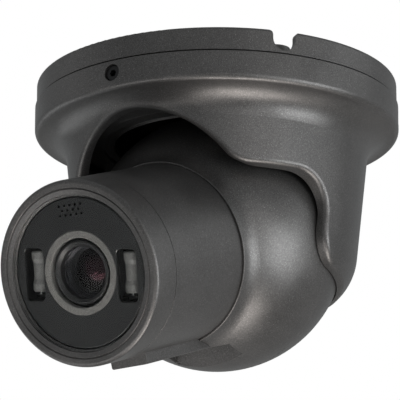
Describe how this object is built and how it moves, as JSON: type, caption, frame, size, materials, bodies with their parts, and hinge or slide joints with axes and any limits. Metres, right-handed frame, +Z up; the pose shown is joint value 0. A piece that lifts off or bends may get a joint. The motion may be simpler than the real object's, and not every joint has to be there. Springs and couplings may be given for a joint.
{
  "type": "turret dome cctv camera",
  "caption": "Ceiling turret camera: round base, bowl cover with an arched opening, and a ball with a short ribbed barrel, clear window and varifocal lens.",
  "frame": {"origin": "centre of the ceiling face of the mounting base, on the pan axis", "axes": "+Z up out of the ceiling face along the pan axis, so the camera hangs below Z = 0; -Y is the way the barrel looks at rest, 20.4 degrees below level; +X is to the right of someone who stands in front of the barrel and looks back at it along +Y"},
  "size_m": [0.1428, 0.1751, 0.1303],
  "materials": {
    "housing_paint": "cast aluminium under a fine textured charcoal powder coat with a metallic fleck",
    "black_rubber": "matt moulded rubber",
    "black_screws": "blackened steel",
    "steel_screws": "zinc plated steel",
    "white_plastic": "natural moulded plastic",
    "window_clear": "clear polished window",
    "face_black": "smooth satin black",
    "foam_grey": "open cell foam",
    "dark_plastic": "moulded black plastic",
    "cylinder_grey": "satin grey",
    "pin_silver": "bright tinned metal",
    "lens_black": "anti-glare black",
    "lens_glass": "coated optical glass",
    "filter_glass": "polished",
    "sensor_face": "glossy",
    "board_green": "solder mask",
    "joystick_steel": "turned metal"
  },
  "bodies": {
    "base": {"mounting_base": "housing_paint", "cable_grommet": "black_rubber", "cover_gasket": "black_rubber"},
    "cover": {"cover_shell": "housing_paint", "rim_set_screws": "black_screws", "ball_clamp": "housing_paint", "clamp_screws": "steel_screws"},
    "ball": {"ball_front_shell": "housing_paint", "ball_rear_shell": "housing_paint", "ball_screws": "steel_screws", "barrel_housing": "housing_paint", "barrel_screws": "steel_screws", "front_cap": "housing_paint", "front_window": "window_clear", "cap_oring": "black_rubber", "window_gasket": "black_rubber", "module_retainer": "white_plastic"},
    "module": {"face_plate": "face_black", "lens_foam_ring": "foam_grey", "module_frame": "dark_plastic", "window_cylinder_left": "cylinder_grey", "window_cylinder_right": "cylinder_grey", "cylinder_holder_left": "dark_plastic", "cylinder_holder_right": "dark_plastic", "cylinder_pins": "pin_silver", "lens_tube": "lens_black", "lens_front_ring": "lens_black", "lens_front_element": "lens_glass", "lens_rear_element": "lens_glass", "lens_iris": "lens_black", "sensor_holder": "dark_plastic", "ir_filter": "filter_glass", "image_sensor": "sensor_face", "sensor_board": "board_green", "main_board": "board_green", "board_spacers": "pin_silver", "holder_posts": "dark_plastic", "board_screws": "steel_screws", "board_chips": "dark_plastic", "wire_header": "dark_plastic", "joystick_body": "dark_plastic"},
    "zoom": {"zoom_ring": "lens_black", "zoom_lock_screw": "steel_screws"},
    "focus": {"focus_ring": "lens_black", "focus_lock_screw": "steel_screws"},
    "joystick": {"joystick_button": "joystick_steel"}
  },
  "joints": [
    {"name": "pan", "type": "hinge", "parent": "base", "child": "cover", "pos_m": [0, 0, 0], "axis": [0, 0, 1], "range_deg": [-175, 175]},
    {"name": "tilt", "type": "hinge", "parent": "cover", "child": "ball", "pos_m": [0, 0, -0.064], "axis": [1, 0, 0], "range_deg": [-20.4, 69.6]},
    {"name": "roll", "type": "hinge", "parent": "ball", "child": "module", "pos_m": [0, 0, -0.064], "axis": [0, -0.9373, -0.3486], "range_deg": [-99.5, 80.5]},
    {"name": "zoom_turn", "type": "hinge", "parent": "module", "child": "zoom", "pos_m": [0, 0, -0.064], "axis": [0, -0.9373, -0.3486], "range_deg": [-40, 40]},
    {"name": "focus_turn", "type": "hinge", "parent": "module", "child": "focus", "pos_m": [0, 0, -0.064], "axis": [0, -0.9373, -0.3486], "range_deg": [-40, 40]},
    {"name": "joystick_press", "type": "slide", "parent": "module", "child": "joystick", "axis": [0, -0.9373, -0.3486], "range_m": [0, 0.0006], "stiffness_N_per_m": 1500, "springref_m": -0.0002}
  ]
}
